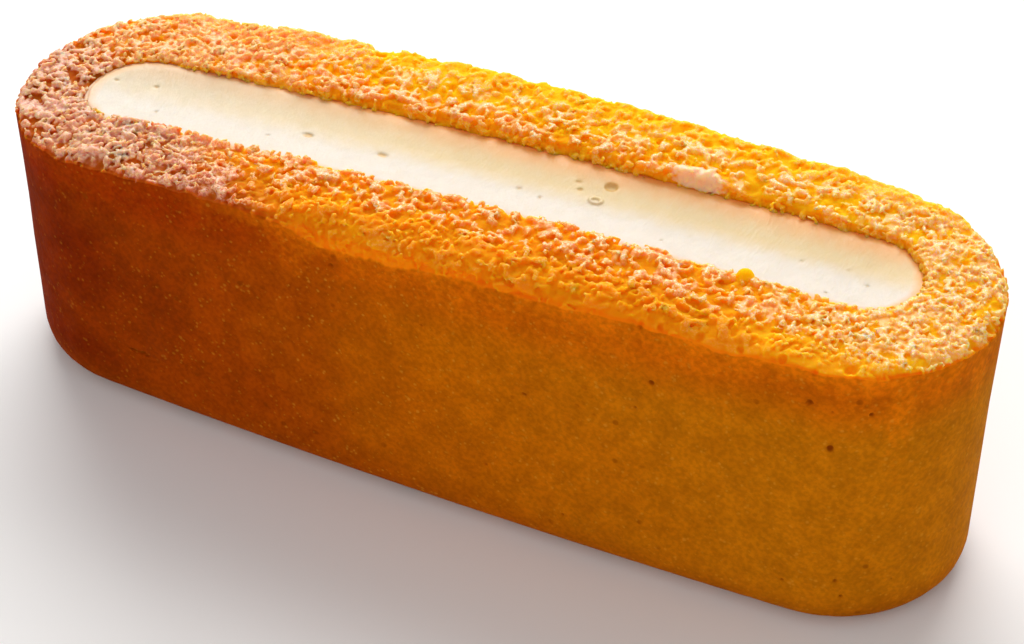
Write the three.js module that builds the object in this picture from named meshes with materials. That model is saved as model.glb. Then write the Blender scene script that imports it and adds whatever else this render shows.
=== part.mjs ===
// A single-serving lemon loaf cake: a baked sponge bar with round ends and a rough, open-crumbed top,
// and a strip of set lemon cream that fills the slot along its middle.
// Millimetres, +Z up. The origin is the middle of the flat underside, and +X is the paler end.
import * as THREE from "three";

// Sponge
const LENGTH = 130;
const WIDTH = 38.2; // across the middle, where the long sides bow out most
const BASE_WIDTH = 36; // the same at the base
const END_RADIUS = 16.7; // of the round ends, seen from above
const END_HEIGHT = 39.5; // of the upper edge at the ends
const CROWN = 2.9; // rise of the top from its ends to its middle
const TOP_TILT = 1.8; // rise of the top from its middle to the pale end
const TOP_LEAN = 0.25; // rise of the top from its middle to the far side
const DRAFT = 0.5; // lean of the sides, from the upper edge to the base
const BASE_ROUND = 4; // radius of the moulded lower edge
const DENT_SIZE = 9; // unevenness of the moulded sides
const DENT_DEPTH = 0.2;

// Crumb of the top, which is relief below the nominal surface
const CRAG_SIZE = 2.8;
const CRAG_DEPTH = 0.8;
const GRAIN_DEPTH = 0.5; // of the finer relief, from point to point
const RIM_WEAR = 0.9; // rounding of the upper edge
const RIM_RAGGED = 0.8; // how much more it is worn in places
const SLOT_RAGGED = 0.9; // wear of the slot's upper edge
const SLOT_CALM = 0.4; // share of the relief that is left along that edge
const SLOT_DIP = 0.5; // how far the crumb sinks towards it

// Stretches of the upper edge that have broken away: place and side, half length, width and drop
const BREAKS = [
  { x: -9, side: -1, reach: 8.5, width: 2.4, drop: 2.9 },
  { x: 10, side: -1, reach: 14, width: 1.4, drop: 1.7 },
  { x: 33, side: -1, reach: 9, width: 1.4, drop: 0.9 },
  { x: -23.2, side: 1, reach: 2, width: 1.8, drop: 1.7 },
];
// A smooth flake of crust on the slot's far edge
const FLAKE = { x: 24, y: 8.6, length: 7, width: 3.4, rise: -0.2, fade: 0.3 };

// Slot and the cream in it
const SLOT_LENGTH = 109.5;
const SLOT_WIDTH = 13.7;
const SLOT_DEPTH = 13; // below the cream's level
const SLOT_ROUND = 4; // radius where the slot's wall meets its floor
const SLOT_TURN = 1.8; // degrees that the slot lies askew
const CREAM_LEVEL = 38.4; // along the wall, at the cake's ends
const CREAM_CROWN = 1.7; // rise of that level from the ends to the middle
const CREAM_TILT = 1.4; // rise of that level from the middle to the pale end
const CREAM_DISH = 0.7; // how far the cream sinks from the wall to its middle line
const GAP = 0.3; // between the cream and the sponge

// Mesh steps
const STRAIGHT_STEPS = 56;
const END_STEPS = 31; // an odd number, so that a round end's points lie opposite each other
const ROUND_STEPS = 4;
const SIDE_STEPS = 5;
const RIM_STEPS = 2;
const TOP_STEPS = 8;
const WALL_STEPS = 2;
const FLOOR_STEPS = 2;
const DISH_STEPS = 4;

const SEEDS = { crag: 1, grain: 2, rim: 3, side: 4, slot: 5 };
const HASH = { i: 127.1, j: 311.7, seed: 74.7, gain: 43758.5453 }; // scatter the lattice's numbers
const HALF = LENGTH / 2;
const BOW = WIDTH / 2 - END_RADIUS;
const BASE_BOW = BASE_WIDTH / 2 - END_RADIUS + DRAFT;

// A repeatable number from 0 to 1 for each lattice point.
function lattice(i, j, seed) {
  const wave = Math.sin(i * HASH.i + j * HASH.j + seed * HASH.seed) * HASH.gain;
  return wave - Math.floor(wave);
}

// Smooth noise from 0 to 1, with features about one unit across.
function noise(x, y, seed) {
  const i = Math.floor(x);
  const j = Math.floor(y);
  const u = THREE.MathUtils.smoothstep(x - i, 0, 1);
  const v = THREE.MathUtils.smoothstep(y - j, 0, 1);
  const near = THREE.MathUtils.lerp(lattice(i, j, seed), lattice(i + 1, j, seed), u);
  const far = THREE.MathUtils.lerp(lattice(i, j + 1, seed), lattice(i + 1, j + 1, seed), u);
  return THREE.MathUtils.lerp(near, far, v);
}

// Points of a bar's outline with round ends, counter-clockwise seen from above.
// The long sides bow out towards the middle by bow.
function barOutline(halfLength, radius, bow = 0) {
  const straight = halfLength - radius;
  const points = [];
  for (const end of [1, -1]) {
    for (let i = 0; i < END_STEPS; i++) {
      const turn = Math.PI * (i / END_STEPS - 0.5);
      points.push([end * (straight + radius * Math.cos(turn)), end * radius * Math.sin(turn)]);
    }
    for (let i = 0; i < STRAIGHT_STEPS; i++) {
      points.push([end * straight * (1 - (2 * i) / STRAIGHT_STEPS), end * radius]);
    }
  }
  return points.map(([x, y]) => {
    const swell = 1 + (bow / radius) * (1 - (x / halfLength) ** 2);
    return new THREE.Vector2(x, y * swell);
  });
}

const rimOutline = () => barOutline(HALF, END_RADIUS, BOW);
const baseOutline = (inset) => barOutline(HALF - inset, END_RADIUS - inset, BASE_BOW);

function slotOutline(inset) {
  const turn = THREE.MathUtils.degToRad(SLOT_TURN);
  const points = barOutline(SLOT_LENGTH / 2 - inset, SLOT_WIDTH / 2 - inset);
  return points.map((p) => p.rotateAround(new THREE.Vector2(), turn));
}

// Height of the top before its relief, at a point seen from above.
function topAt(p) {
  const along = p.x / HALF;
  const across = p.y / (WIDTH / 2);
  return END_HEIGHT + CROWN * (1 - along ** 2) + TOP_TILT * along + TOP_LEAN * across;
}

// Level of the cream along the slot's wall.
function creamAt(x) {
  const along = x / HALF;
  return CREAM_LEVEL + CREAM_CROWN * (1 - along ** 2) + CREAM_TILT * along;
}

// Share of the flake that covers a point of the top, from 0 to 1.
function flakeAt(p) {
  const along = (p.x - FLAKE.x) / (FLAKE.length / 2);
  const across = (p.y - FLAKE.y) / (FLAKE.width / 2);
  return 1 - THREE.MathUtils.smoothstep(Math.hypot(along, across), 1 - FLAKE.fade, 1 + FLAKE.fade);
}

// Height of the crumb at a point of the top, which lies a share of the way in from the rim to the slot.
function crumbAt(p, inward = 0) {
  const crag = CRAG_DEPTH * noise(p.x / CRAG_SIZE, p.y / CRAG_SIZE, SEEDS.crag);
  const grain = GRAIN_DEPTH * lattice(p.x, p.y, SEEDS.grain);
  const relief = (crag + grain) * THREE.MathUtils.lerp(1, SLOT_CALM, inward) + SLOT_DIP * inward ** 2;
  return topAt(p) + THREE.MathUtils.lerp(-relief, FLAKE.rise, flakeAt(p));
}

// How far the upper edge is worn back and down at a point of the outline.
function wearAt(p) {
  const ragged = RIM_WEAR + RIM_RAGGED * noise(p.x / CRAG_SIZE, p.y / CRAG_SIZE, SEEDS.rim);
  const wear = { width: ragged, drop: ragged };
  for (const { x, side, reach, width, drop } of BREAKS) {
    if (Math.sign(p.y) !== side) continue;
    const share = Math.exp(-(((p.x - x) / reach) ** 4));
    wear.width += width * share;
    wear.drop += drop * share;
  }
  return wear;
}

const lift = (points, height) => points.map((p) => new THREE.Vector3(p.x, p.y, height(p)));

// Triangles that close a bar's outline, in pairs between its two long sides, from end to end.
function barCap(count) {
  const first = (END_STEPS + 1) / 2;
  const opposite = (i) => (END_STEPS - i + count) % count;
  const triangles = [];
  for (let a = first; a < first + count / 2 - 1; a++) {
    triangles.push([a, a + 1, opposite(a + 1)], [a, opposite(a + 1), opposite(a)]);
  }
  return triangles;
}

// Closed solid from rings of equal length, from the lower cap outwards and on to the last cap.
function ringSolid(rings) {
  const count = rings[0].length;
  const index = [];
  for (let r = 0; r + 1 < rings.length; r++) {
    for (let i = 0; i < count; i++) {
      const a = r * count + i;
      const b = r * count + ((i + 1) % count);
      index.push(a, b, b + count, a, b + count, a + count);
    }
  }
  const last = (rings.length - 1) * count;
  for (const [a, b, c] of barCap(count)) index.push(a, c, b, last + a, last + b, last + c);
  const geometry = new THREE.BufferGeometry().setFromPoints(rings.flat());
  geometry.setIndex(index);
  geometry.computeVertexNormals();
  return geometry;
}

// Rings of a rounded lower edge, from the flat face outwards and up.
function roundedFoot(outlineAt, radius, inset, steps, height) {
  return Array.from({ length: steps + 1 }, (_, k) => {
    const turn = (Math.PI / 2) * (k / steps);
    const points = outlineAt(inset + radius * (1 - Math.sin(turn)));
    return lift(points, (p) => height(p) + radius * (1 - Math.cos(turn)));
  });
}

// Rings of the moulded side, from above the lower edge to below the worn upper one.
function sideRings() {
  const rim = rimOutline();
  const foot = baseOutline(DRAFT);
  return Array.from({ length: SIDE_STEPS }, (_, k) => {
    const share = (k + 1) / SIDE_STEPS;
    return rim.map((p, i) => {
      const z = THREE.MathUtils.lerp(BASE_ROUND, topAt(p) - wearAt(p).drop, share);
      const uneven = noise((p.x + p.y) / DENT_SIZE, z / DENT_SIZE, SEEDS.side);
      const dent = DENT_DEPTH * uneven * Math.sin(Math.PI * share);
      const q = p.clone().lerp(foot[i], 1 - share + dent / p.distanceTo(foot[i]));
      return new THREE.Vector3(q.x, q.y, z);
    });
  });
}

// Rings over the worn upper edge and across the crumb, as far as the slot.
function topRings() {
  const rim = rimOutline();
  const worn = slotOutline(-SLOT_RAGGED);
  const slot = slotOutline(0).map((p, i) =>
    p.lerp(worn[i], noise(p.x / CRAG_SIZE, p.y / CRAG_SIZE, SEEDS.slot)),
  );
  const wear = rim.map(wearAt);
  const shoulder = rim.map((p, i) => p.clone().lerp(slot[i], wear[i].width / p.distanceTo(slot[i])));
  const edge = Array.from({ length: RIM_STEPS }, (_, k) => {
    const turn = (Math.PI / 2) * ((k + 1) / (RIM_STEPS + 1));
    return rim.map((p, i) => {
      const q = p.clone().lerp(shoulder[i], 1 - Math.cos(turn));
      const sunk = wear[i].drop * (1 - Math.sin(turn));
      return new THREE.Vector3(q.x, q.y, crumbAt(q) - sunk);
    });
  });
  const crumb = Array.from({ length: TOP_STEPS }, (_, k) => {
    const inward = k / (TOP_STEPS - 1);
    const points = shoulder.map((p, i) => p.clone().lerp(slot[i], inward));
    return lift(points, (p) => crumbAt(p, inward));
  });
  return [...edge, ...crumb];
}

// Rings down the slot's wall and in along its rounded floor.
function slotRings() {
  const foot = roundedFoot(slotOutline, SLOT_ROUND, 0, FLOOR_STEPS, (p) => creamAt(p.x) - SLOT_DEPTH);
  const wallTop = lift(slotOutline(0), (p) => creamAt(p.x));
  const wall = Array.from({ length: WALL_STEPS }, (_, k) =>
    wallTop.map((p, i) => p.clone().lerp(foot.at(-1)[i], k / WALL_STEPS)),
  );
  return [...wall, ...foot.reverse()];
}

function spongeGeometry() {
  const foot = roundedFoot(baseOutline, BASE_ROUND, DRAFT, ROUND_STEPS, () => 0);
  return ringSolid([...foot, ...sideRings(), ...topRings(), ...slotRings()]);
}

function creamGeometry() {
  const outlineAt = (inset) => slotOutline(inset + GAP);
  const floor = (p) => creamAt(p.x) - SLOT_DEPTH + GAP;
  const foot = roundedFoot(outlineAt, SLOT_ROUND, 0, FLOOR_STEPS, floor);
  const surface = Array.from({ length: DISH_STEPS }, (_, k) => {
    const inward = k / DISH_STEPS;
    const sunk = CREAM_DISH * (1 - (1 - inward) ** 2);
    return lift(outlineAt((inward * SLOT_WIDTH) / 2), (p) => creamAt(p.x) - sunk);
  });
  return ringSolid([...foot, ...surface]);
}

function namedMesh(name, geometry, colour, roughness) {
  const material = new THREE.MeshStandardMaterial({ color: colour, roughness, metalness: 0 });
  const mesh = new THREE.Mesh(geometry, material);
  mesh.name = name;
  return mesh;
}

const cake = new THREE.Group();
cake.add(
  namedMesh("sponge", spongeGeometry(), 0xc8761a, 0.7),
  namedMesh("lemon_cream", creamGeometry(), 0xf6ebcb, 0.4),
);

export default cake;
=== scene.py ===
"""A lemon loaf cake: a baked sponge bar with an open crumb on top, and set lemon cream in its slot.

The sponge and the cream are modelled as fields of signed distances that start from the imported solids.
Pores, crumbs, pinholes and bubbles are cut into the fields or added to them, and the fields are then
meshed. Lengths are in millimetres until a mesh is made, and Blender's objects are in metres.
"""
import math

import bpy
import numpy as np
import openvdb
from mathutils import Matrix, Vector


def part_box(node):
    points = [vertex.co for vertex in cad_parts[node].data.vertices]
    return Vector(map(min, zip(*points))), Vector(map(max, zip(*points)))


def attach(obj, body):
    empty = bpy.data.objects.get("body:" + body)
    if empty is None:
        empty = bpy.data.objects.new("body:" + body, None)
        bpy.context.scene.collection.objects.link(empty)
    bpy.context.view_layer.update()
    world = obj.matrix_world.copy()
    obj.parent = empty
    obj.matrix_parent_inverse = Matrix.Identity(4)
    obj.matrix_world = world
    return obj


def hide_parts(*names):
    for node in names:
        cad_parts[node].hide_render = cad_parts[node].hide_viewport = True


MM = 0.001
SEED = 20
FAR = 1e3  # farther than anything is

# Camera, as the photograph was taken, in degrees and millimetres
CAMERA_AZIMUTH = 25.49
CAMERA_ELEVATION = 39.37
CAMERA_ROLL = 0.47
CAMERA_DISTANCE = 347.6
CAMERA_TARGET = (0.0, 0.0, 19.3)
CAMERA_SLIDE = (3.19, -1.90)
CAMERA_LENS = 97.0
SENSOR_WIDTH = 36.0

# Lights: bearing and height in degrees, distance and size in metres, power in watts, and colour
LIGHTS = {
    "back_key": (203, 39, 0.8, 0.75, 8.8, (1.0, 0.98, 0.95)),
    "front_fill": (6, 28, 1.2, 1.0, 3.8, (1.0, 0.97, 0.93)),
}
SKY_STRENGTH = 0.43
FLOOR_SIZE = 6.0
FLOOR_COLOUR = (0.9, 0.9, 0.9)

# Fields
CELL = 0.15
BAND_CELLS = 11  # cells on either side of a surface in which distances are kept
SMOOTH_CELLS = 3
CREASE = 0.12  # rounding where a shape is cut out or added
MERGE_FLATS = 0.01  # how readily flat areas get larger faces when a field is meshed
LOOSE_DEPTH = 1.0  # how deep nothing loose and no closed hollow reaches
GROWTH_STEPS = 8  # steps between two looks at whether cells still join
SPONGE_TRIANGLES = 192000
CREAM_TRIANGLES = 70000

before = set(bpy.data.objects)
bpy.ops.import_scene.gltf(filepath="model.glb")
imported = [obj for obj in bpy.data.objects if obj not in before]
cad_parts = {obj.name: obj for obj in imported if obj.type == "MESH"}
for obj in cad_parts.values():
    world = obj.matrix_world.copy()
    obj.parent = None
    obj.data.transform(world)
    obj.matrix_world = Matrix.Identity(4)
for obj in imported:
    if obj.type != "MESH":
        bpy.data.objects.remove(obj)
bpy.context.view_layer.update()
random = np.random.default_rng(SEED)


# Camera, lights and floor

def bearing(azimuth, elevation):
    """The direction from the cake towards a place, with angles in degrees and azimuth 0 along -Y."""
    a = math.radians(azimuth)
    e = math.radians(elevation)
    return Vector((math.sin(a) * math.cos(e), -math.cos(a) * math.cos(e), math.sin(e)))


def make_camera():
    roll = math.radians(CAMERA_ROLL)
    back = bearing(CAMERA_AZIMUTH, CAMERA_ELEVATION)
    level = bearing(CAMERA_AZIMUTH + 90, 0)
    upright = back.cross(level)
    right = level * math.cos(roll) + upright * math.sin(roll)
    up = upright * math.cos(roll) - level * math.sin(roll)
    slide = level * CAMERA_SLIDE[0] + upright * CAMERA_SLIDE[1]
    place = (Vector(CAMERA_TARGET) + slide + back * CAMERA_DISTANCE) * MM
    data = bpy.data.cameras.new("camera")
    data.lens = CAMERA_LENS
    data.sensor_width = SENSOR_WIDTH
    data.clip_start = 0.01
    camera = bpy.data.objects.new("camera", data)
    turn = Matrix((right, up, back)).transposed().to_4x4()
    camera.matrix_world = Matrix.Translation(place) @ turn
    bpy.context.scene.collection.objects.link(camera)
    bpy.context.scene.camera = camera


def make_light(name, azimuth, elevation, distance, size, power, colour):
    """A square soft light, aimed at the cake."""
    away = bearing(azimuth, elevation)
    data = bpy.data.lights.new(name, "AREA")
    data.shape = "SQUARE"
    data.size = size
    data.energy = power
    data.color = colour
    light = bpy.data.objects.new(name, data)
    light.location = Vector(CAMERA_TARGET) * MM + away * distance
    light.rotation_euler = away.to_track_quat("Z", "Y").to_euler()
    bpy.context.scene.collection.objects.link(light)


def make_floor():
    mesh = bpy.data.meshes.new("floor")
    half = FLOOR_SIZE / 2
    corners = [(-half, -half, 0), (half, -half, 0), (half, half, 0), (-half, half, 0)]
    mesh.from_pydata(corners, [], [(0, 1, 2, 3)])
    floor = bpy.data.objects.new("floor", mesh)
    material = bpy.data.materials.new("floor")
    material.use_nodes = True
    shader = material.node_tree.nodes["Principled BSDF"]
    shader.inputs["Base Color"].default_value = (*FLOOR_COLOUR, 1)
    shader.inputs["Roughness"].default_value = 0.7
    shader.inputs["Specular IOR Level"].default_value = 0.1
    mesh.materials.append(material)
    bpy.context.scene.collection.objects.link(floor)


def make_studio():
    scene = bpy.context.scene
    scene.world = bpy.data.worlds.new("studio")
    scene.world.use_nodes = True
    background = scene.world.node_tree.nodes["Background"]
    background.inputs["Color"].default_value = (1, 1, 1, 1)
    background.inputs["Strength"].default_value = SKY_STRENGTH
    for name, values in LIGHTS.items():
        make_light(name, *values)
    scene.view_settings.view_transform = "Standard"
    scene.view_settings.look = "None"
    make_floor()


# Fields of signed distances, positive outside

def smoothstep(low, high, x):
    """Rises from 0 at low to 1 at high, also where low is the larger."""
    t = np.clip((x - low) / (high - low), 0, 1)
    return t * t * (3 - 2 * t)


class Field:
    """Distances in millimetres on a grid of cells, with the number of the first cell along each axis."""

    def __init__(self, values, first):
        self.values = values
        self.first = np.array(first)

    def copy(self):
        return Field(self.values.copy(), self.first)

    def axes(self):
        """Coordinates of the cells along X, Y and Z, shaped to combine with the values."""
        lines = [(np.arange(n) + f) * CELL for n, f in zip(self.values.shape, self.first)]
        return np.ix_(*[line.astype(np.float32) for line in lines])

    def block(self, low, high):
        """The part of the field between two corners, as a view."""
        low = np.clip(np.floor(np.array(low) / CELL).astype(int) - self.first, 0, self.values.shape)
        high = np.clip(np.ceil(np.array(high) / CELL).astype(int) - self.first + 1, 0, self.values.shape)
        cut = tuple(slice(a, b) for a, b in zip(low, high))
        return Field(self.values[cut], self.first + low)

    def above(self, height):
        return self.block((-FAR, -FAR, height), (FAR, FAR, FAR))

    def at(self, points):
        """Distances at points, from the eight cells round each."""
        grid = points / CELL - self.first
        base = np.clip(np.floor(grid).astype(int), 0, np.array(self.values.shape) - 2)
        part = np.clip(grid - base, 0, 1)
        total = np.zeros(len(points))
        for corner in np.ndindex(2, 2, 2):
            weight = np.prod(np.where(corner, part, 1 - part), axis=1)
            i, j, k = (base + corner).T
            total += weight * self.values[i, j, k]
        return total

    def slopes_at(self, points):
        """Outward directions at points."""
        steps = np.eye(3) * CELL
        slopes = np.stack([self.at(points + s) - self.at(points - s) for s in steps], axis=1)
        return slopes / np.maximum(np.linalg.norm(slopes, axis=1, keepdims=True), 1e-9)


def field_of(node):
    """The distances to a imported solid's surface."""
    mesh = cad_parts[node].data
    points = np.empty(len(mesh.vertices) * 3, np.float32)
    mesh.vertices.foreach_get("co", points)
    mesh.calc_loop_triangles()
    triangles = np.empty(len(mesh.loop_triangles) * 3, np.int32)
    mesh.loop_triangles.foreach_get("vertices", triangles)
    grid = openvdb.FloatGrid.createLevelSetFromPolygons(
        points.reshape(-1, 3) / np.float32(MM),
        triangles=triangles.astype(np.uint32).reshape(-1, 3),
        transform=openvdb.createLinearTransform(CELL),
        halfWidth=BAND_CELLS,
    )
    low, high = grid.evalActiveVoxelBoundingBox()
    values = np.empty(np.array(high) - low + 1, np.float32)
    grid.copyToArray(values, ijk=low)
    return Field(values, low)


def soften(field, cells):
    """Averages the distances over a box of cells, which rounds facets and sharp edges."""
    width = 2 * cells + 1
    for axis in range(3):
        pad = [(cells, cells) if a == axis else (0, 0) for a in range(3)]
        padded = np.pad(field.values, pad, mode="edge")
        field.values[...] = 0
        for step in range(width):
            part = [slice(None)] * 3
            part[axis] = slice(step, step + field.values.shape[axis])
            field.values += padded[tuple(part)]
        field.values /= width


def noise(field, size, strength):
    """Smooth noise over a field, with features of a size in millimetres."""
    shape = field.values.shape
    spots = [int(n * CELL / size) + 3 for n in shape]
    values = random.uniform(-strength, strength, spots).astype(np.float32)
    for axis, n in enumerate(shape):
        place = np.arange(n) * CELL / size
        base = place.astype(int)
        part = smoothstep(0, 1, place - base).astype(np.float32)
        part = part.reshape([-1 if a == axis else 1 for a in range(3)])
        near = np.take(values, base, axis=axis)
        far = np.take(values, base + 1, axis=axis)
        values = near + (far - near) * part
    return values


def ellipsoid(block, centre, radii, turn):
    """Rough distances to an ellipsoid turned about Z."""
    x, y, z = block.axes()
    x = x - centre[0]
    y = y - centre[1]
    c = math.cos(turn)
    s = math.sin(turn)
    along = (x * c + y * s) / radii[0]
    across = (y * c - x * s) / radii[1]
    upward = (z - centre[2]) / radii[2]
    return (np.sqrt(along ** 2 + across ** 2 + upward ** 2) - 1) * min(radii)


def blended_max(a, b, width):
    """The larger of two fields, with a rounded crease of a given width."""
    share = np.clip(0.5 + 0.5 * (a - b) / width, 0, 1)
    return b + (a - b) * share + width * share * (1 - share)


def cut(field, centre, radii, turn=0.0, blend=CREASE, warp=None):
    """Cuts an ellipsoid out of a field, made uneven by another field where warp is given."""
    low = np.array(centre) - max(radii) - 2 * blend
    high = np.array(centre) + max(radii) + 2 * blend
    block = field.block(low, high)
    if block.values.size:
        hollow = -ellipsoid(block, centre, radii, turn)
        if warp:
            hollow += warp.block(low, high).values
        block.values[...] = blended_max(block.values, hollow, blend)


def add(field, centre, radii, blend=CREASE):
    """Adds an ellipsoid to a field."""
    reach = max(radii) + blend
    block = field.block(np.array(centre) - reach, np.array(centre) + reach)
    if block.values.size:
        block.values[...] = -blended_max(-block.values, -ellipsoid(block, centre, radii, 0.0), blend)


def joined(kept, seeds):
    """The kept cells that hang together with the seeds."""
    held = seeds & kept
    count = 0
    while held.sum() > count:
        count = held.sum()
        for _ in range(GROWTH_STEPS):
            grown = held.copy()
            for axis in range(3):
                ahead = [slice(None)] * 3
                behind = [slice(None)] * 3
                ahead[axis] = slice(1, None)
                behind[axis] = slice(None, -1)
                grown[tuple(ahead)] |= held[tuple(behind)]
                grown[tuple(behind)] |= held[tuple(ahead)]
            held = grown & kept
    return held


def drop_loose(field, floor):
    """Drops what has come loose above a height, and fills the hollows that are closed off."""
    block = field.above(floor)
    for side in (-1, 1):
        depth = block.values * side
        kept = depth > 0
        block.values[kept & ~joined(kept, depth > LOOSE_DEPTH)] = -side * CELL


# Meshes

def mesh_of(field, name, triangles):
    """Meshes a field's zero surface and thins the mesh to a number of triangles."""
    limit = BAND_CELLS * CELL
    grid = openvdb.FloatGrid(limit)
    grid.transform = openvdb.createLinearTransform(CELL)
    grid.gridClass = openvdb.GridClass.LEVEL_SET
    np.clip(field.values, -limit, limit, out=field.values)
    grid.copyFromArray(field.values, ijk=tuple(int(n) for n in field.first))
    points, threes, fours = grid.convertToPolygons(0.0, MERGE_FLATS)
    faces = np.concatenate([threes, fours[:, [0, 1, 2]], fours[:, [0, 2, 3]]])[:, ::-1]
    mesh = bpy.data.meshes.new(name)
    mesh.vertices.add(len(points))
    mesh.vertices.foreach_set("co", (points * MM).astype(np.float32).ravel())
    mesh.loops.add(faces.size)
    mesh.loops.foreach_set("vertex_index", faces.astype(np.int32).ravel())
    mesh.polygons.add(len(faces))
    mesh.polygons.foreach_set("loop_start", np.arange(0, faces.size, 3, dtype=np.int32))
    mesh.update(calc_edges=True)
    piece = bpy.data.objects.new(name, mesh)
    bpy.context.scene.collection.objects.link(piece)
    if len(faces) > triangles:
        thin = piece.modifiers.new("thin", "DECIMATE")
        thin.ratio = triangles / len(faces)
        graph = bpy.context.evaluated_depsgraph_get()
        thinned = bpy.data.meshes.new_from_object(piece.evaluated_get(graph))
        piece.modifiers.clear()
        piece.data = thinned
        thinned.name = name
    piece.data.shade_smooth()
    print(name, len(faces), "to", len(piece.data.polygons), "triangles")
    return piece


def points_of(piece):
    points = np.empty(len(piece.data.vertices) * 3, np.float32)
    piece.data.vertices.foreach_get("co", points)
    return points.reshape(-1, 3) / MM


def give(piece, name, values):
    """Keeps a number for each point of a piece, for its material."""
    attribute = piece.data.attributes.new(name, "FLOAT", "POINT")
    attribute.data.foreach_set("value", np.asarray(values, np.float32))


# Materials

NOISE_TURN = (0.6, 0.9, 0.4)


class Shading:
    """The nodes of a new material, with short ways to add those that are used here."""

    def __init__(self, name):
        self.material = bpy.data.materials.new(name)
        self.material.use_nodes = True
        self.tree = self.material.node_tree
        self.shader = self.tree.nodes["Principled BSDF"]
        place = self.tree.nodes.new("ShaderNodeTexCoord").outputs["Object"]
        scaled = self.add("ShaderNodeVectorMath", {0: place, "Scale": 1 / MM}, operation="SCALE")
        self.place = scaled.outputs[0]
        split = self.add("ShaderNodeSeparateXYZ", {0: self.place})
        self.x, self.y, self.z = split.outputs

    def add(self, kind, inputs, **settings):
        node = self.tree.nodes.new(kind)
        for name, value in settings.items():
            setattr(node, name, value)
        for name, value in inputs.items():
            self.feed(node.inputs[name], value)
        return node

    def feed(self, socket, value):
        """Links a socket to another one, or sets its constant."""
        if isinstance(value, bpy.types.NodeSocket):
            self.tree.links.new(value, socket)
        elif isinstance(value, tuple) and socket.type == "RGBA":
            socket.default_value = (*value, 1)
        else:
            socket.default_value = value

    def set(self, **inputs):
        """Sets the shader's inputs, named with _ for a space."""
        for name, value in inputs.items():
            self.feed(self.shader.inputs[name.replace("_", " ")], value)

    def attribute(self, name):
        return self.add("ShaderNodeAttribute", {}, attribute_name=name).outputs["Fac"]

    def noise(self, size, detail=2.0, stretch=(1, 1, 1)):
        """Noise from 0 to 1 with features of a size in millimetres, drawn out by stretch.

        It is turned out of the axes, because a level slice of such noise shows its lattice.
        """
        scale = tuple(1 / s for s in stretch)
        place = self.add("ShaderNodeVectorMath", {0: self.place, 1: scale}, operation="MULTIPLY").outputs[0]
        turned = self.add("ShaderNodeVectorRotate", {"Vector": place, "Rotation": NOISE_TURN},
                          rotation_type="EULER_XYZ").outputs[0]
        inputs = {"Vector": turned, "Scale": 1 / size, "Detail": detail}
        return self.add("ShaderNodeTexNoise", inputs).outputs["Fac"]

    def cells(self, size):
        """Distance to the nearest of scattered points, as a share of their spacing in millimetres."""
        inputs = {"Vector": self.place, "Scale": 1 / size}
        return self.add("ShaderNodeTexVoronoi", inputs).outputs["Distance"]

    def ramp(self, value, low, high, start=0.0, end=1.0):
        """A smooth step of a value between low and high, from start to end."""
        inputs = {"Value": value, "From Min": low, "From Max": high, "To Min": start, "To Max": end}
        return self.add("ShaderNodeMapRange", inputs, interpolation_type="SMOOTHSTEP").outputs["Result"]

    def math(self, operation, *values):
        return self.add("ShaderNodeMath", dict(enumerate(values)), operation=operation).outputs[0]

    def plus(self, a, b):
        return self.math("ADD", a, b)

    def times(self, a, b):
        return self.math("MULTIPLY", a, b)

    def mix(self, share, a, b, how="MIX"):
        node = self.add("ShaderNodeMix", {}, data_type="RGBA", blend_type=how)
        sockets = {socket.identifier: socket for socket in node.inputs}
        self.feed(sockets["Factor_Float"], share)
        self.feed(sockets["A_Color"], a)
        self.feed(sockets["B_Color"], b)
        return next(socket for socket in node.outputs if socket.identifier == "Result_Color")

    def bump(self, height, depth):
        """Shading relief from a height of 0 to 1, with a depth in millimetres."""
        node = self.add("ShaderNodeBump", {"Height": height, "Distance": depth * MM})
        self.set(Normal=node.outputs["Normal"])


# Sponge

CREAM_LOW, CREAM_HIGH = (np.array(corner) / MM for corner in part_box("lemon_cream"))
SPONGE_LOW, SPONGE_HIGH = (np.array(corner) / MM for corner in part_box("sponge"))
CRUMB_FLOOR = CREAM_HIGH[2] - 8.0
CREAM_MIDDLE = (CREAM_LOW[2] + CREAM_HIGH[2]) / 2
WALL_DEPTH = 3.0  # how far below the cream's highest level the slot's wall is still open crumb
WALL_WIDTH = 1.4  # how near the cream a point of that wall is, seen from above
WALL_SLOPE = 0.5  # how far it may face upwards

# Open crumb: lumps that reach up to the surface, with gaps between them
RIM_SLOPES = (0.04, 0.4)  # upward slopes between which the moulded side turns into open crumb
RIM_WIDTH = 1.8  # how far in from the side the crumb is smoother
RIM_LEVEL = 33.0  # height at which the side is still straight
RIM_GLOW_HEIGHT = 3.0  # how far below the upper edge the side takes on the crumb's colour and a painted glow
LUMP_SIZE = 0.62
FINE_LUMP_SIZE = 0.46  # at the ends
BROKEN_LUMP_SIZE = 0.5  # where the front's edge broke off
LUMP_OCTAVES = ((1.9, 0.5), (1.0, 1.0), (0.55, 0.55))  # size and strength of a lump's shapes, as shares
LUMP_EDGES = (-0.3, 0.55)  # noise at the bottom of the gaps and at the top of the lumps
LUMP_LIFT = 0.2  # how far the lumps stand above the solid's surface
GAP_DEPTH = 0.7
GAP_VARIETY = (2.4, 0.4)  # size and share of the change in the gaps' depth
FINE_ENDS = ((-22, -42), (36, 50))  # stretches along X over which the lumps turn fine
FULL_ENDS = ((-28, -48), (35, 55))  # stretches over which the lumps get more than the gaps
FULLER = 0.1
SHALLOW_BACK = (11, 15)  # stretches along Y and X over which the gaps get shallower
SHALLOW_END = (35, 55)
SHALLOWER = {"back": 0.35, "end": 0.25, "broken": 0.3}
GRAIN = (0.32, 0.08)  # size and strength of the finest relief
CRUMB_REACH = 1.2  # how far from the surface the relief is worked out
SLOT_LIP = 0.7  # how far the crumb stands over the slot's near edge at the browned end
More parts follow.
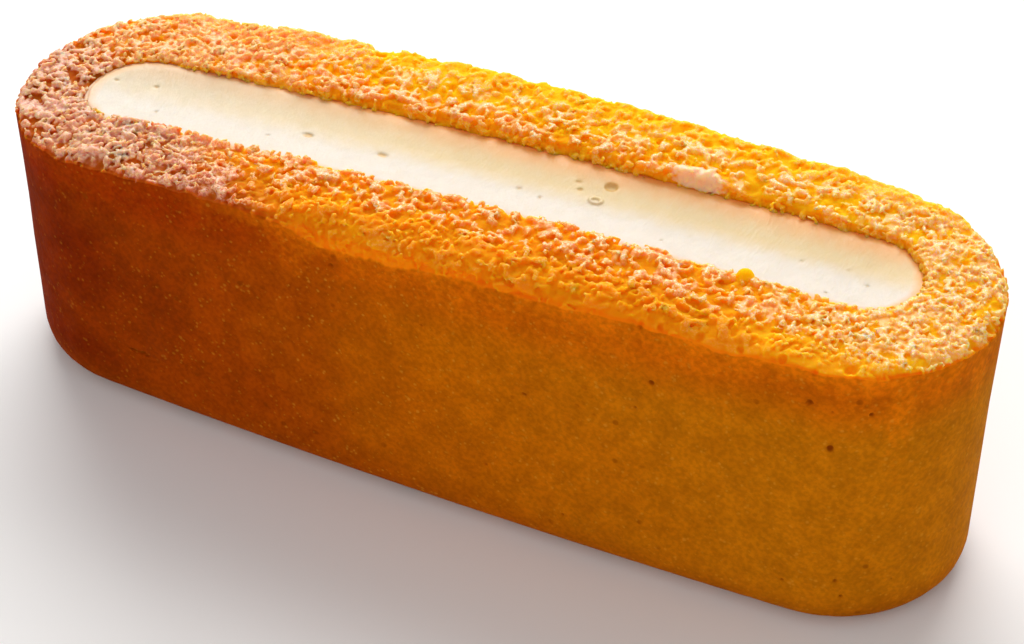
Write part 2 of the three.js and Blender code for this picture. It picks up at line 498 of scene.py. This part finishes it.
SLOT_WORN = 0.7  # how far it is worn back from the slot at that end's tip
LIP_WIDTH = 1.6
BROKEN = {"x": -5, "reach": 12}  # stretch of the front's edge that broke off
BROKEN_EDGE = (-13, -16)  # where it begins and is whole, along Y

# Larger pores: how many, their radius, shape and how far their middles stand out, as shares of the radius
PORES = 60
PORE_RADIUS = (0.5, 0.85)
PORE_SHAPE = (0.75, 1.35)
PORE_STAND = (0.0, 0.4)
PORE_SLOPE = 0.75
RIM_BITES = 90  # like pores, out of the upper edge
RIM_BITE_RADIUS = (0.3, 0.8)
RIM_BITE_SLOPES = (0.4, 0.8)
BITTEN_SHARE = 0.2  # share of the broken stretch from which there are no more bites
PORE_WARP = (0.7, 0.12)  # size and strength of what makes the pores uneven

# The smooth flake of crust on the slot's far edge, and round crumbs with their radius
FLAKE = {"x": 24.3, "y": 8.4, "length": 7.2, "width": 3.6, "foot": 40.7}
ROUND_CRUMBS = [((36.2, -6.3, 41.2), 1.1), ((-57.3, -12.2, 39.9), 0.55)]
ROUND_REACH = 1.2  # how far their colour reaches, in their radii

# Pinholes of the front: place along X and height, and radius
PINHOLES = [
    (51.6, 29.3, 0.5), (48.9, 35.7, 0.42), (55.6, 34.8, 0.36), (51.5, 34.9, 0.24), (30.0, 32.0, 0.42),
    (28.1, 27.5, 0.34), (0.5, 30.2, 0.3), (14.0, 24.3, 0.42), (14.3, 22.3, 0.24), (8.8, 10.7, 0.3),
    (7.0, 7.7, 0.22), (19.1, 6.4, 0.3), (-11.4, 35.3, 0.36), (32.7, 20.0, 0.2), (53.6, 8.3, 0.34),
    (54.4, 5.8, 0.34), (47.4, 6.9, 0.3), (59.4, 7.8, 0.3), (-9.6, 11.9, 0.24), (-9.1, 30.3, 0.2),
]
STARS = 3  # how many of the first ones have a ragged, star-shaped mouth
SLIT = (-42.5, -40.2, 9.5)  # its ends along X and its height, on the front
HIDDEN_PINHOLES = 26
CHIPS = [-35.3, -1.3, 24.9, 60.7]  # along X, on the lower edge of the front
HIDDEN_CHIPS = 6


def flake_share(points):
    """How far points lie inside the flake: 1 in its middle and 0 at its edge."""
    along = (points[:, 0] - FLAKE["x"]) / (FLAKE["length"] / 2)
    across = (points[:, 1] - FLAKE["y"]) / (FLAKE["width"] / 2)
    below = np.clip(FLAKE["foot"] - points[:, 2], 0, 1)
    return 1 - np.hypot(along, across) - 2 * below


def broken_along(x):
    """Share of the broken stretch at places along X."""
    return np.exp(-((x - BROKEN["x"]) / BROKEN["reach"]) ** 4)


def broken_share(points):
    """Share of the broken stretch of the front's edge that points lie in."""
    return broken_along(points[:, 0]) * (points[:, 1] < 0)


def on_wall(points, cream):
    """Whether points lie on the slot's wall, from just below the cream's level upwards."""
    beside = points.copy()
    beside[:, 2] = CREAM_MIDDLE
    return (cream.at(beside) < WALL_WIDTH) & (points[:, 2] > CREAM_HIGH[2] - WALL_DEPTH)


def openness(places, slopes, cream):
    """How far the crumb lies open at places: the upward slope, and 1 on the slot's wall."""
    return np.where(on_wall(places, cream), 1, slopes[:, 2])


def smooth_rim(places, skin, cream):
    """How smooth the crumb is near the upper edge: most at the back and the front's golden half."""
    beside = places.copy()
    beside[:, 2] = RIM_LEVEL
    near = smoothstep(RIM_WIDTH, 0, -skin.at(beside)) * ~on_wall(places, cream)
    front = 0.1 + 0.6 * smoothstep(0, 25, places[:, 0])
    return near * np.where(places[:, 1] > 0, 0.6, front) * smoothstep(65, 48, places[:, 0])


def near_rim(points, skin):
    """How near points of the side are to the upper edge: 0 from RIM_GLOW_HEIGHT down, 1 at the edge."""
    return np.clip(skin.at(points + (0, 0, RIM_GLOW_HEIGHT)) / (BAND_CELLS * CELL), 0, 1)


def crumb_share(skin, cream):
    """Share of the open crumb in each cell near the upper surface."""
    block = skin.above(CRUMB_FLOOR)
    share = np.zeros_like(block.values)
    cells = np.argwhere(np.abs(block.values) < CRUMB_REACH)
    places = (cells + block.first) * CELL
    opened = openness(places, skin.slopes_at(places), cream)
    smooth = 0.6 * smoothstep(-0.1, 0.2, flake_share(places))
    smooth = np.maximum(smooth, smooth_rim(places, skin, cream))
    share[tuple(cells.T)] = smoothstep(*RIM_SLOPES, opened) * (1 - smooth)
    return share


def lumps(block, size):
    """Noise that is high in the crumb's lumps, which are about as large as size."""
    return sum(noise(block, size * share, strength) for share, strength in LUMP_OCTAVES)


def slot_lip(block, cream):
    """How far the crumb stands over the slot's edge, in the cells of a field seen from above."""
    x, y, _ = block.axes()
    across, along = np.meshgrid(y.ravel(), x.ravel())
    spots = np.stack([along.ravel(), across.ravel(), np.full(along.size, CREAM_MIDDLE)], axis=1)
    beside = cream.at(spots).reshape(along.shape)[:, :, None]
    near = smoothstep(LIP_WIDTH, 0.3, beside).astype(np.float32)
    lip = SLOT_LIP * smoothstep(-5, -40, x) * smoothstep(-54, -47, x) * smoothstep(2, -3, y)
    worn = SLOT_WORN * smoothstep(-43, -53, x) * smoothstep(-7, -3, y)
    return near * (lip - worn)


def raise_crumb(sponge, share, cream):
    """Sinks the gaps of the crumb and roughens its lumps."""
    block = sponge.above(CRUMB_FLOOR)
    x, y, _ = block.axes()
    shape = lumps(block, LUMP_SIZE)
    shape += (lumps(block, FINE_LUMP_SIZE) - shape) * sum(smoothstep(*reach, x) for reach in FINE_ENDS)
    broken = broken_along(x) * smoothstep(*BROKEN_EDGE, y)
    shape += (lumps(block, BROKEN_LUMP_SIZE) - shape) * broken
    shape += FULLER * sum(smoothstep(*reach, x) for reach in FULL_ENDS)
    size, variety = GAP_VARIETY
    depth = GAP_DEPTH * (1 + noise(block, size, variety))
    shallower = 1 - SHALLOWER["back"] * smoothstep(*SHALLOW_BACK, y)
    shallower = shallower * (1 - SHALLOWER["end"] * smoothstep(*SHALLOW_END, x))
    depth *= shallower * (1 - SHALLOWER["broken"] * broken)
    gap = smoothstep(*LUMP_EDGES[::-1], shape)
    block.values += share * (depth * gap - LUMP_LIFT - slot_lip(block, cream) + noise(block, *GRAIN))


def cut_pores(sponge, skin, cream):
    """A few pores that are larger than the gaps, and bites out of the upper edge."""
    block = sponge.above(CRUMB_FLOOR)
    warp = Field(noise(block, *PORE_WARP), block.first)
    surface = skin.above(CRUMB_FLOOR)
    places = (np.argwhere(np.abs(surface.values) < 0.5 * CELL) + surface.first) * CELL
    slopes = skin.slopes_at(places)
    level = (slopes[:, 2] > PORE_SLOPE) & (flake_share(places) < -0.3)
    low, high = RIM_BITE_SLOPES
    edge = (slopes[:, 2] > low) & (slopes[:, 2] < high)
    rim = edge & ~on_wall(places, cream) & (broken_share(places) < BITTEN_SHARE)
    for fit, count, radii in ((level, PORES, PORE_RADIUS), (rim, RIM_BITES, RIM_BITE_RADIUS)):
        for spot in random.choice(np.flatnonzero(fit), count, replace=False):
            radius = random.uniform(*radii)
            centre = places[spot] + slopes[spot] * radius * random.uniform(*PORE_STAND)
            axes = radius * random.uniform(*PORE_SHAPE, 3)
            cut(block, centre, axes, random.uniform(0, math.pi), warp=warp)


def side_point(skin, x, z, side):
    """The point of a long side, -1 for the front or 1 for the back, at a place along X and a height."""
    reach = np.arange(SPONGE_HIGH[1] + 1, 0, -CELL / 2)
    line = np.stack([np.full_like(reach, x), side * reach, np.full_like(reach, z)], axis=1)
    return line[np.argmax(skin.at(line) < 0)]


def cut_pinhole(sponge, centre, radius):
    cut(sponge, centre, (radius, radius * 0.8, radius * random.uniform(0.8, 1.2)), blend=0.06)


def cut_star(sponge, centre, radius):
    """A pinhole with a ragged mouth."""
    cut_pinhole(sponge, centre, radius)
    for turn in random.uniform(0, 2 * math.pi, 5):
        away = np.array([math.cos(turn), 0, math.sin(turn)]) * radius * random.uniform(0.7, 1.1)
        cut_pinhole(sponge, centre + away, radius * random.uniform(0.35, 0.5))


def cut_pinholes(sponge, skin):
    for number, (x, z, radius) in enumerate(PINHOLES):
        tool = cut_star if number < STARS else cut_pinhole
        tool(sponge, side_point(skin, x, z, -1), radius)
    left, right, height = SLIT
    for x in np.linspace(left, right, 6):
        centre = side_point(skin, x, height + random.uniform(-0.2, 0.2), -1)
        cut(sponge, centre, (0.35, 0.5, random.uniform(0.15, 0.3)), blend=0.06)
    for _ in range(HIDDEN_PINHOLES):
        x = random.uniform(-0.45, 0.45) * (SPONGE_HIGH[0] - SPONGE_LOW[0])
        centre = side_point(skin, x, random.uniform(6, 35), 1)
        cut_pinhole(sponge, centre, random.uniform(0.2, 0.45))


def chip_foot(sponge, skin):
    """Small chips out of the lower edge."""
    hidden = random.uniform(SPONGE_LOW[0] + 12, SPONGE_HIGH[0] - 12, HIDDEN_CHIPS)
    for side, spots in ((-1, CHIPS), (1, hidden)):
        for x in spots:
            centre = side_point(skin, x, 0.8, side)
            for _ in range(4):
                shift = random.normal(0, (0.9, 0.2, 0.25))
                cut(sponge, centre + shift, random.uniform(0.3, 0.6, 3), blend=0.1)


def sponge_field(cream):
    """The finished sponge, and its skin before anything was cut or added."""
    sponge = field_of("sponge")
    soften(sponge, SMOOTH_CELLS)
    skin = sponge.copy()
    raise_crumb(sponge, crumb_share(skin, cream), cream)
    cut_pores(sponge, skin, cream)
    for centre, radius in ROUND_CRUMBS:
        add(sponge, centre, (radius,) * 3)
    cut_pinholes(sponge, skin)
    chip_foot(sponge, skin)
    drop_loose(sponge, CRUMB_FLOOR)
    return sponge, skin


def make_sponge(cream):
    sponge, skin = sponge_field(cream)
    piece = mesh_of(sponge, "sponge_crumb", SPONGE_TRIANGLES)
    points = points_of(piece)
    slopes = skin.slopes_at(points)
    opened = openness(points, slopes, cream)
    wall = on_wall(points, cream) & (slopes[:, 2] < WALL_SLOPE)
    pit = -skin.at(points)
    give(piece, "crumb", smoothstep(*RIM_SLOPES, opened))
    give(piece, "pit", np.clip(pit, -1, 2))
    give(piece, "open", slopes[:, 2])
    give(piece, "wall", wall)
    give(piece, "flake", np.clip(flake_share(points), -1, 1))
    give(piece, "broken", broken_share(points))
    rounds = np.min([np.linalg.norm(points - c, axis=1) / r for c, r in ROUND_CRUMBS], axis=0)
    give(piece, "round", rounds)
    give(piece, "near_rim", near_rim(points, skin))
    piece.data.materials.append(crust_material())
    piece.data.materials.append(crumb_material())
    piece.data.materials.append(grain_material())
    corners = np.empty(len(piece.data.polygons) * 3, np.int32)
    piece.data.polygons.foreach_get("vertices", corners)
    border = random.uniform(0, GLOSSY_BORDER, len(points))
    dull = points[:, 1] > GLOSSY_BACK + border
    dull |= (points[:, 1] < GLOSSY_FRONT - border) & (points[:, 0] > DULL_FRONT)
    lit = (slopes[:, 2] > GLOSSY_SLOPE) & (pit < GLOSSY_DEPTH) & (rounds > ROUND_REACH) & ~wall & ~dull
    inner = smoothstep(*RIM_SLOPES, opened) > random.uniform(0.2, 0.8, len(points))
    kinds = np.where(lit, 2, inner)[corners.reshape(-1, 3)]
    piece.data.polygons.foreach_set("material_index", np.median(kinds, axis=1).astype(np.int32))
    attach(piece, "root")
    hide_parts("sponge")


# Colours of the sponge
CRUST_BROWNED = (0.16, 0.012, 0.0005)
CRUST_RUSSET = (0.33, 0.048, 0.0008)
CRUST_MIDDLE = (0.50, 0.122, 0.001)
CRUST_GOLDEN = (0.50, 0.150, 0.002)
CRUST_BAND = (0.53, 0.090, 0.001)
BAND_BROWNED = (0.25, 0.012, 0.0005)
# below the upper edge: the crumb's colour, and a painted glow of light through the edge
CRUST_RIM_AND_GLOW = (0.74, 0.175, 0.002)
CRUST_FOOT = (0.31, 0.052, 0.001)
CRUST_SPECK = (0.66, 0.26, 0.02)
CRUST_DOT = (0.17, 0.03, 0.001)
# painted shade inside the pinholes, which are darkened where they sink in
CRUST_HOLE_SHADE = (0.26, 0.045, 0.001)
HOLE_TOP = 37.0  # height that no pinhole reaches
RIM = (0.88, 0.215, 0.003)
RIM_BROKEN = (0.94, 0.24, 0.003)
WALL_COLOUR = (0.99, 0.35, 0.006)
GAP_COLOUR = (0.83, 0.268, 0.003)
GAP_GOLDEN = (0.98, 0.44, 0.006)
# painted glow: the gaps near the far edge made yellower, for light shining through the crumb from behind
GAP_PAINTED_GLOW = (0.99, 0.455, 0.003)
GAP_BROWNED = (0.50, 0.092, 0.007)
# the lumps' colours, used on the high tops that face upwards: partly the crumb's own colour, partly a
# painted highlight
LUMP_COLOUR = (0.96, 0.39, 0.105)
LUMP_GOLDEN = (0.98, 0.49, 0.15)
# painted highlight: small bright glints on the highest lumps
PAINTED_GLINT_COLOUR = (0.99, 0.62, 0.39)
LUMP_BROWNED = (0.74, 0.41, 0.265)
ROUND_COLOUR = (0.99, 0.46, 0.003)
FLAKE_COLOUR = (0.95, 0.56, 0.31)

# Where the crumb's lumps are moist
GLOSSY_SLOPE = 0.5
GLOSSY_DEPTH = 0.25
GLOSSY_BACK = 12.5  # where the crumb begins to get dull towards the far edge
GLOSSY_FRONT = -11.5  # the same towards the near edge
GLOSSY_BORDER = 3.0  # how wide the change to dull is
DULL_FRONT = -25.0  # place along X from which the near edge is dull


def crust_colour(nodes):
    """Colour of the moulded sides: browned at one end, golden at the other, darker at the foot, with
    painted shade in the pinholes and, below the upper edge, the crumb's colour with a painted glow.
    """
    wander = nodes.math("MULTIPLY_ADD", nodes.noise(14), 26, -13)
    along = nodes.plus(nodes.x, wander)
    colour = nodes.mix(nodes.ramp(along, -60, -26), CRUST_BROWNED, CRUST_RUSSET)
    colour = nodes.mix(nodes.ramp(along, -28, 10), colour, CRUST_MIDDLE)
    colour = nodes.mix(nodes.ramp(along, 0, 50), colour, CRUST_GOLDEN)
    band = nodes.ramp(nodes.plus(nodes.z, nodes.times(wander, 0.12)), 29, 38, 0, 0.75)
    colour = nodes.mix(band, colour, nodes.mix(nodes.ramp(nodes.x, -36, -2), BAND_BROWNED, CRUST_BAND))
    # near the upper edge the side takes on the crumb's colour, brightened as a painted glow
    rim = nodes.plus(nodes.attribute("near_rim"), nodes.ramp(nodes.noise(0.9, 3), 0.3, 0.7, -0.2, 0.2))
    rim = nodes.times(nodes.ramp(rim, 0.25, 1.15), nodes.ramp(nodes.x, -35, -12, 0.1, 0.7))
    colour = nodes.mix(rim, colour, CRUST_RIM_AND_GLOW)
    foot = nodes.plus(nodes.z, nodes.times(wander, 0.2))
    colour = nodes.mix(nodes.ramp(foot, 7, 0, 0, 0.6), colour, CRUST_FOOT)
    mottle = nodes.times(nodes.ramp(nodes.noise(0.6, 2), 0.3, 0.7, 0.88, 1.13),
                         nodes.ramp(nodes.noise(3.5, 3), 0.3, 0.7, 0.9, 1.1))
    colour = nodes.mix(1.0, colour, mottle, "MULTIPLY")
    paler = nodes.ramp(nodes.x, -60, 0, 0.3, 1)
    speck = nodes.plus(nodes.cells(0.8), nodes.times(nodes.noise(1.1, 3), 1.4))
    speck = nodes.times(nodes.ramp(speck, 0.95, 0.6, 0, 0.5), paler)
    colour = nodes.mix(speck, colour, CRUST_SPECK)
    dot = nodes.times(nodes.ramp(nodes.cells(3.2), 0.17, 0.08), nodes.ramp(nodes.noise(5), 0.5, 0.62))
    colour = nodes.mix(nodes.times(dot, 0.5), colour, CRUST_DOT)
    # painted shade in the pinholes, darker the deeper they sink below the skin
    pinhole_shade = nodes.times(nodes.ramp(nodes.attribute("pit"), 0.08, 0.4),
                       nodes.ramp(nodes.z, HOLE_TOP, HOLE_TOP - 0.5))
    return nodes.mix(pinhole_shade, colour, CRUST_HOLE_SHADE)


def browning(nodes):
    """Share of the browned end in the crumb, which reaches farther along the front."""
    lean = nodes.times(nodes.y, 1.6)
    along = nodes.plus(nodes.plus(nodes.x, lean), nodes.times(nodes.noise(6, 3), 18))
    return nodes.ramp(along, -32, -51)


def crumb_colour(nodes):
    """Colour of the open crumb: pale grains on its lumps, partly their own colour and partly a painted
    highlight, with painted glints on the highest, and deep and saturated in its gaps.
    """
    pit = nodes.attribute("pit")
    slope = nodes.attribute("open")
    browned = browning(nodes)
    along = nodes.plus(nodes.x, nodes.times(nodes.y, 0.7))
    golden = nodes.plus(nodes.ramp(along, 15, 55), nodes.ramp(nodes.noise(4), 0.5, 0.75, 0, 0.4))
    gap = nodes.mix(golden, GAP_COLOUR, GAP_GOLDEN)
    # painted glow in the gaps towards the far edge
    painted_back_glow = nodes.times(nodes.ramp(nodes.y, 6, 13), nodes.ramp(nodes.x, -42, -20))
    gap = nodes.mix(painted_back_glow, gap, GAP_PAINTED_GLOW)
    rim = nodes.mix(nodes.attribute("broken"), RIM, RIM_BROKEN)
    gap = nodes.mix(nodes.ramp(slope, 0.75, 0.35), gap, rim)
    gap = nodes.mix(browned, gap, GAP_BROWNED)
    gap = nodes.mix(nodes.attribute("wall"), gap, WALL_COLOUR)
    # more of the paler tops and painted glints towards the ends
    left = nodes.times(nodes.ramp(nodes.x, -16, -38), nodes.ramp(nodes.x, -64, -44, 0.35, 1))
    cover = nodes.math("MAXIMUM", left, nodes.ramp(along, 35, 65, 0, 0.4))
    height = nodes.math("SUBTRACT", pit, nodes.times(cover, 0.4))
    # painted highlight: bright glints on the highest tops of the lumps, from fine noise
    painted_glint = nodes.times(nodes.ramp(height, 0.04, -0.16), nodes.ramp(nodes.noise(0.24, 1), 0.48, 0.56))
    painted_glint = nodes.times(painted_glint, nodes.ramp(nodes.x, -40, -5, 0.4, 1))
    lump = nodes.mix(painted_glint, nodes.mix(golden, LUMP_COLOUR, LUMP_GOLDEN), PAINTED_GLINT_COLOUR)
    lump = nodes.mix(browned, lump, LUMP_BROWNED)
    upward = nodes.math("MAXIMUM", slope, nodes.times(nodes.attribute("wall"), 0.6))
    # paler on the high tops that face upwards: partly the lumps' own colour, partly a painted highlight
    pale = nodes.times(nodes.ramp(height, 0.16, -0.09), nodes.ramp(upward, 0.45, 0.9))
    grain = nodes.ramp(nodes.noise(0.32, 1), 0.42, 0.54, 0.1, 1)
    grain = nodes.math("MAXIMUM", grain, nodes.ramp(nodes.x, -20, -45, 0, 0.7))
    pale = nodes.times(pale, grain)
    golden_half = nodes.ramp(nodes.x, -30, -15)
    back = nodes.times(nodes.ramp(nodes.y, 12, 16, 0, 0.6), golden_half)
    front = nodes.times(nodes.ramp(nodes.y, -12.5, -15.5, 0, 0.8), golden_half)
    pale = nodes.times(pale, nodes.math("SUBTRACT", 1.0, nodes.plus(back, front)))
    colour = nodes.mix(pale, gap, lump)
    colour = nodes.mix(nodes.ramp(nodes.attribute("round"), ROUND_REACH, 1.0), colour, ROUND_COLOUR)
    flake = nodes.plus(nodes.attribute("flake"), nodes.times(nodes.noise(0.9, 2), 0.9))
    return nodes.mix(nodes.ramp(flake, 0.4, 0.8), colour, FLAKE_COLOUR)


def sponge_colour(nodes):
    crumb = nodes.plus(nodes.attribute("crumb"), nodes.times(nodes.noise(1.1, 2), 0.6))
    return nodes.mix(nodes.ramp(crumb, 0.45, 1.0), crust_colour(nodes), crumb_colour(nodes))


def crust_material():
    nodes = Shading("sponge_crust")
    nodes.set(Base_Color=sponge_colour(nodes))
    nodes.set(Roughness=nodes.ramp(nodes.noise(1.2), 0.3, 0.7, 0.75, 0.9))
    nodes.set(Specular_IOR_Level=0.02, Specular_Tint=(1.0, 0.5, 0.1), Subsurface_Weight=0.35)
    nodes.set(Subsurface_Radius=(1.0, 0.4, 0.08), Subsurface_Scale=1.5 * MM)
    nodes.bump(nodes.noise(0.7, 1), 0.05)
    return nodes.material


def crumb_material():
    """The open crumb's gaps and walls, which light shines through."""
    nodes = Shading("sponge_crumb")
    nodes.set(Base_Color=sponge_colour(nodes))
    nodes.set(Roughness=nodes.ramp(nodes.noise(0.8), 0.3, 0.7, 0.7, 0.85))
    nodes.set(Specular_IOR_Level=0.05, Specular_Tint=(1.0, 0.6, 0.2), Subsurface_Weight=1.0)
    nodes.set(Subsurface_Radius=(1.0, 0.5, 0.1), Subsurface_Scale=2.6 * MM)
    nodes.bump(nodes.noise(0.5, 2), 0.05)
    return nodes.material


def grain_material():
    """The lumps of the open crumb, which are moist."""
    nodes = Shading("sponge_grains")
    nodes.set(Base_Color=crumb_colour(nodes))
    nodes.set(Roughness=nodes.ramp(nodes.noise(0.8), 0.3, 0.7, 0.3, 0.42))
    nodes.set(Specular_IOR_Level=0.5, Subsurface_Weight=1.0)
    nodes.set(Subsurface_Radius=(1.0, 0.5, 0.1), Subsurface_Scale=2.2 * MM)
    nodes.bump(nodes.noise(0.35, 2), 0.05)
    return nodes.material


# Cream

CREAM_SPREAD = 1.1  # how far the cream is taken into the slot's wall
SPREAD_SINK = 0.15  # how much lower it lies there

# Bubbles of the cream: place along X and Y, size along and across, and depth
BUBBLES = [
    (14.6, 4.3, 0.85, 0.75, 0.45),
    (-24.4, -0.9, 0.8, 0.5, 0.2), (-13.9, -1.0, 0.75, 0.45, 0.2),
    (10.6, 3.6, 0.4, 0.35, 0.14), (11.3, 2.5, 0.35, 0.3, 0.14),
    (7.5, -0.9, 0.3, 0.3, 0.14), (4.5, -0.3, 0.3, 0.3, 0.12),
    (-47.6, 1.0, 0.4, 0.35, 0.16), (-44.7, -3.8, 0.3, 0.3, 0.14), (-52.9, 0.1, 0.3, 0.3, 0.14),
    (-28.9, -2.9, 0.3, 0.3, 0.14), (48.8, 0.5, 0.25, 0.25, 0.12), (40.4, 1.3, 0.25, 0.25, 0.12),
    (45.1, -3.3, 0.2, 0.2, 0.12), (24.1, -2.6, 0.25, 0.25, 0.12),
]
RING = (13.9, 1.3, 0.75)  # place along X and Y and radius of a blister with a raised rim


def level_at(field, x, y):
    """Height of a field's upper surface at a place."""
    heights = np.arange(CREAM_HIGH[2] + 1, CREAM_HIGH[2] - 5, -CELL / 4)
    line = np.stack([np.full_like(heights, x), np.full_like(heights, y), heights], axis=1)
    return heights[np.argmax(field.at(line) < 0)]


def spread_level(field, reach):
    """A field widened by reach in all level directions, and sunk by SPREAD_SINK there."""
    cells = round(reach / CELL)
    wide = np.pad(field.values, ((cells, cells), (cells, cells), (0, 0)), constant_values=FAR)
    widest = wide.copy()
    for turn in np.linspace(0, 2 * math.pi, 24, endpoint=False):
        for share in (0.5, 1):
            step = share * cells
            sink = round(share * SPREAD_SINK / CELL)
            shift = (round(step * math.cos(turn)), round(step * math.sin(turn)), -sink)
            np.minimum(widest, np.roll(wide, shift, axis=(0, 1, 2)), out=widest)
    return Field(widest, field.first - (cells, cells, 0))


def cream_field(cream):
    """The cream, taken into the slot's wall, with its bubbles, and the same without them."""
    spread_out = spread_level(cream, CREAM_SPREAD)
    flat = spread_out.copy()
    for x, y, along, across, depth in BUBBLES:
        cut(spread_out, (x, y, level_at(flat, x, y)), (along, across, depth), blend=0.1)
    x, y, radius = RING
    top = level_at(flat, x, y)
    for turn in np.linspace(0, 2 * math.pi, 24, endpoint=False):
        spot = (x + radius * math.cos(turn), y + 0.7 * radius * math.sin(turn), top)
        add(spread_out, spot, (0.22, 0.22, 0.2), blend=0.15)
    return spread_out, flat


def make_cream(cream):
    field, flat = cream_field(cream)
    piece = mesh_of(field, "cream_filling", CREAM_TRIANGLES)
    points = points_of(piece)
    askew = np.polyfit(points[:, 0], points[:, 1], 1)[0]
    across = points[:, 1] - askew * points[:, 0]
    give(piece, "across", across / across.max())
    give(piece, "bubble", -flat.at(points))
    level = points.copy()
    level[:, 2] = CREAM_HIGH[2] - 6
    give(piece, "edge", np.clip(-cream.at(level), -1, 1.5))
    piece.data.materials.append(cream_material())
    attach(piece, "root")
    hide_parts("lemon_cream")


# the near half is painted whiter for the light's reflection, the far half beige for the far wall's shade;
# in part it is the cream's own colour
CREAM_FRONT = (0.605, 0.54, 0.45)
CREAM_BACK = (0.66, 0.495, 0.235)
# the sponge's stain along the wall, and painted orange light bounced from the wall and shining through it
CREAM_STAIN_AND_GLOW = (0.95, 0.37, 0.06)
# painted shade inside the bubbles
BUBBLE_SHADE_COLOUR = (0.72, 0.45, 0.15)


def cream_colour(nodes):
    """Ivory, painted whiter on the near half for the light's reflection and beige on the far half for the
    wall's shade; stained by the sponge along the wall, with painted orange light from the wall, most
    towards the far wall and the golden end.
    """
    # painted reflection on the near half and painted shade on the far half
    across = nodes.plus(nodes.attribute("across"), nodes.times(nodes.noise(3), 0.2))
    back = nodes.times(nodes.ramp(across, -0.15, 0.4), nodes.ramp(nodes.x, -55, 0, 0.5, 1))
    colour = nodes.mix(back, CREAM_FRONT, CREAM_BACK)
    # stain and painted orange light from the wall, most by the far wall
    edge = nodes.ramp(nodes.plus(nodes.attribute("edge"), nodes.noise(2.5)), 1.5, 0.2, 0, 0.8)
    edge = nodes.times(edge, nodes.ramp(nodes.x, -50, -15, 0.5, 1))
    far = nodes.times(nodes.ramp(across, 0.4, 1.1), nodes.ramp(nodes.x, -45, 10, 0.3, 0.85))
    colour = nodes.mix(nodes.math("MAXIMUM", edge, far), colour, CREAM_STAIN_AND_GLOW)
    # painted shade in the bubbles, darker where they sink deeper
    return nodes.mix(nodes.ramp(nodes.attribute("bubble"), 0.04, 0.25), colour, BUBBLE_SHADE_COLOUR)


def cream_material():
    nodes = Shading("lemon_cream")
    nodes.set(Base_Color=cream_colour(nodes))
    nodes.set(Roughness=nodes.ramp(nodes.noise(1.5), 0.3, 0.7, 0.33, 0.43))
    nodes.set(Specular_IOR_Level=0.4, Subsurface_Weight=0.5)
    nodes.set(Subsurface_Radius=(1.0, 0.7, 0.35), Subsurface_Scale=1.5 * MM)
    nodes.bump(nodes.noise(0.5, 2, (0.7, 2.2, 1.0)), 0.06)
    return nodes.material


make_camera()
make_studio()
set_cream = field_of("lemon_cream")
make_sponge(set_cream)
make_cream(set_cream)
